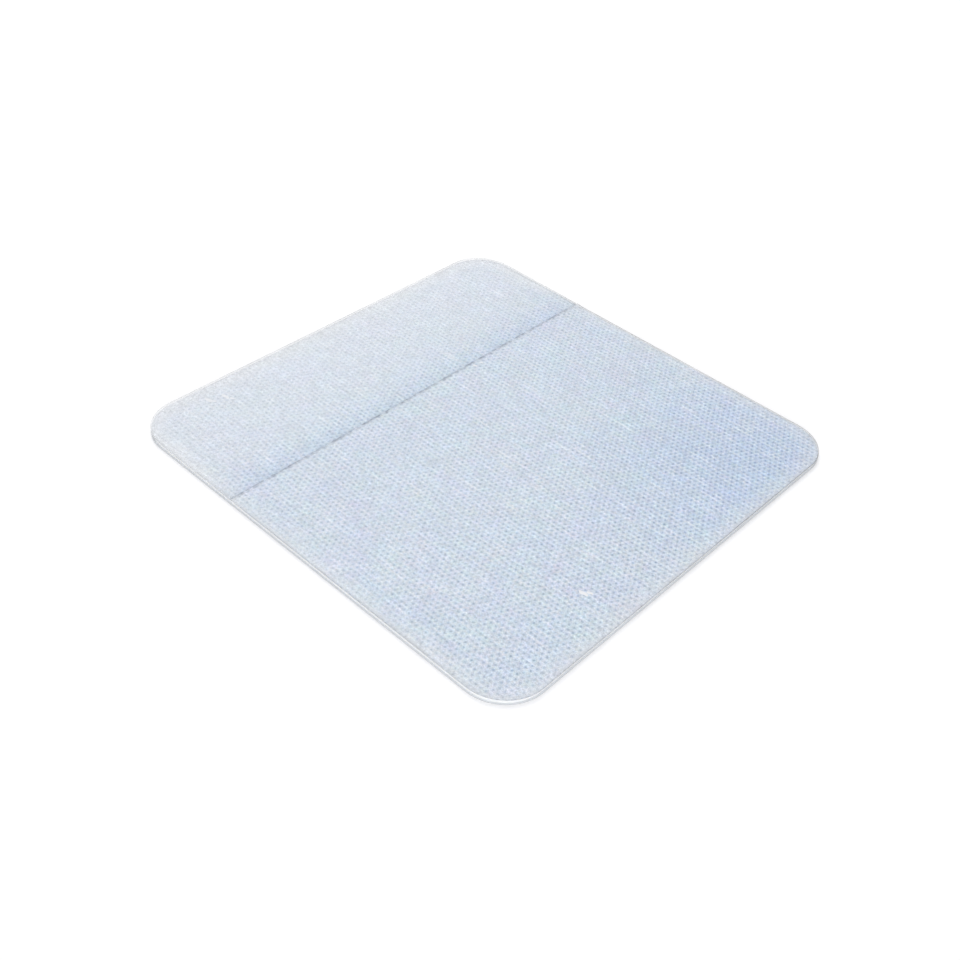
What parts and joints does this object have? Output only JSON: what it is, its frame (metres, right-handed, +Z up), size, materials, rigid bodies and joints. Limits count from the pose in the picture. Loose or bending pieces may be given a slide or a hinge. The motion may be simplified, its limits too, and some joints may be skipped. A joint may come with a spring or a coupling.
{
  "type": "hydrogel burn dressing",
  "caption": "Thin square round-cornered laminate pad: backing film, pale blue gel slab, fine support mesh and a clear release film cut into a short and a long part.",
  "frame": {"origin": "middle of the underside, on the surface that the pad rests on", "axes": "+X across the slit, from the short part of the release film to the long part; +Y along the slit; +Z up, out of the release film"},
  "size_m": [0.1, 0.1, 0.0014],
  "materials": {
    "backing_film": "satin white film",
    "gel": "moist translucent blue gel",
    "mesh_fabric": "fine open knitted mesh, wetted by the gel",
    "release_film": "clear satin film"
  },
  "bodies": {
    "root": {"backing_film": "backing_film", "gel_sheet": "gel", "support_mesh": "mesh_fabric", "release_film_short": "release_film", "release_film_long": "release_film"}
  },
  "joints": []
}
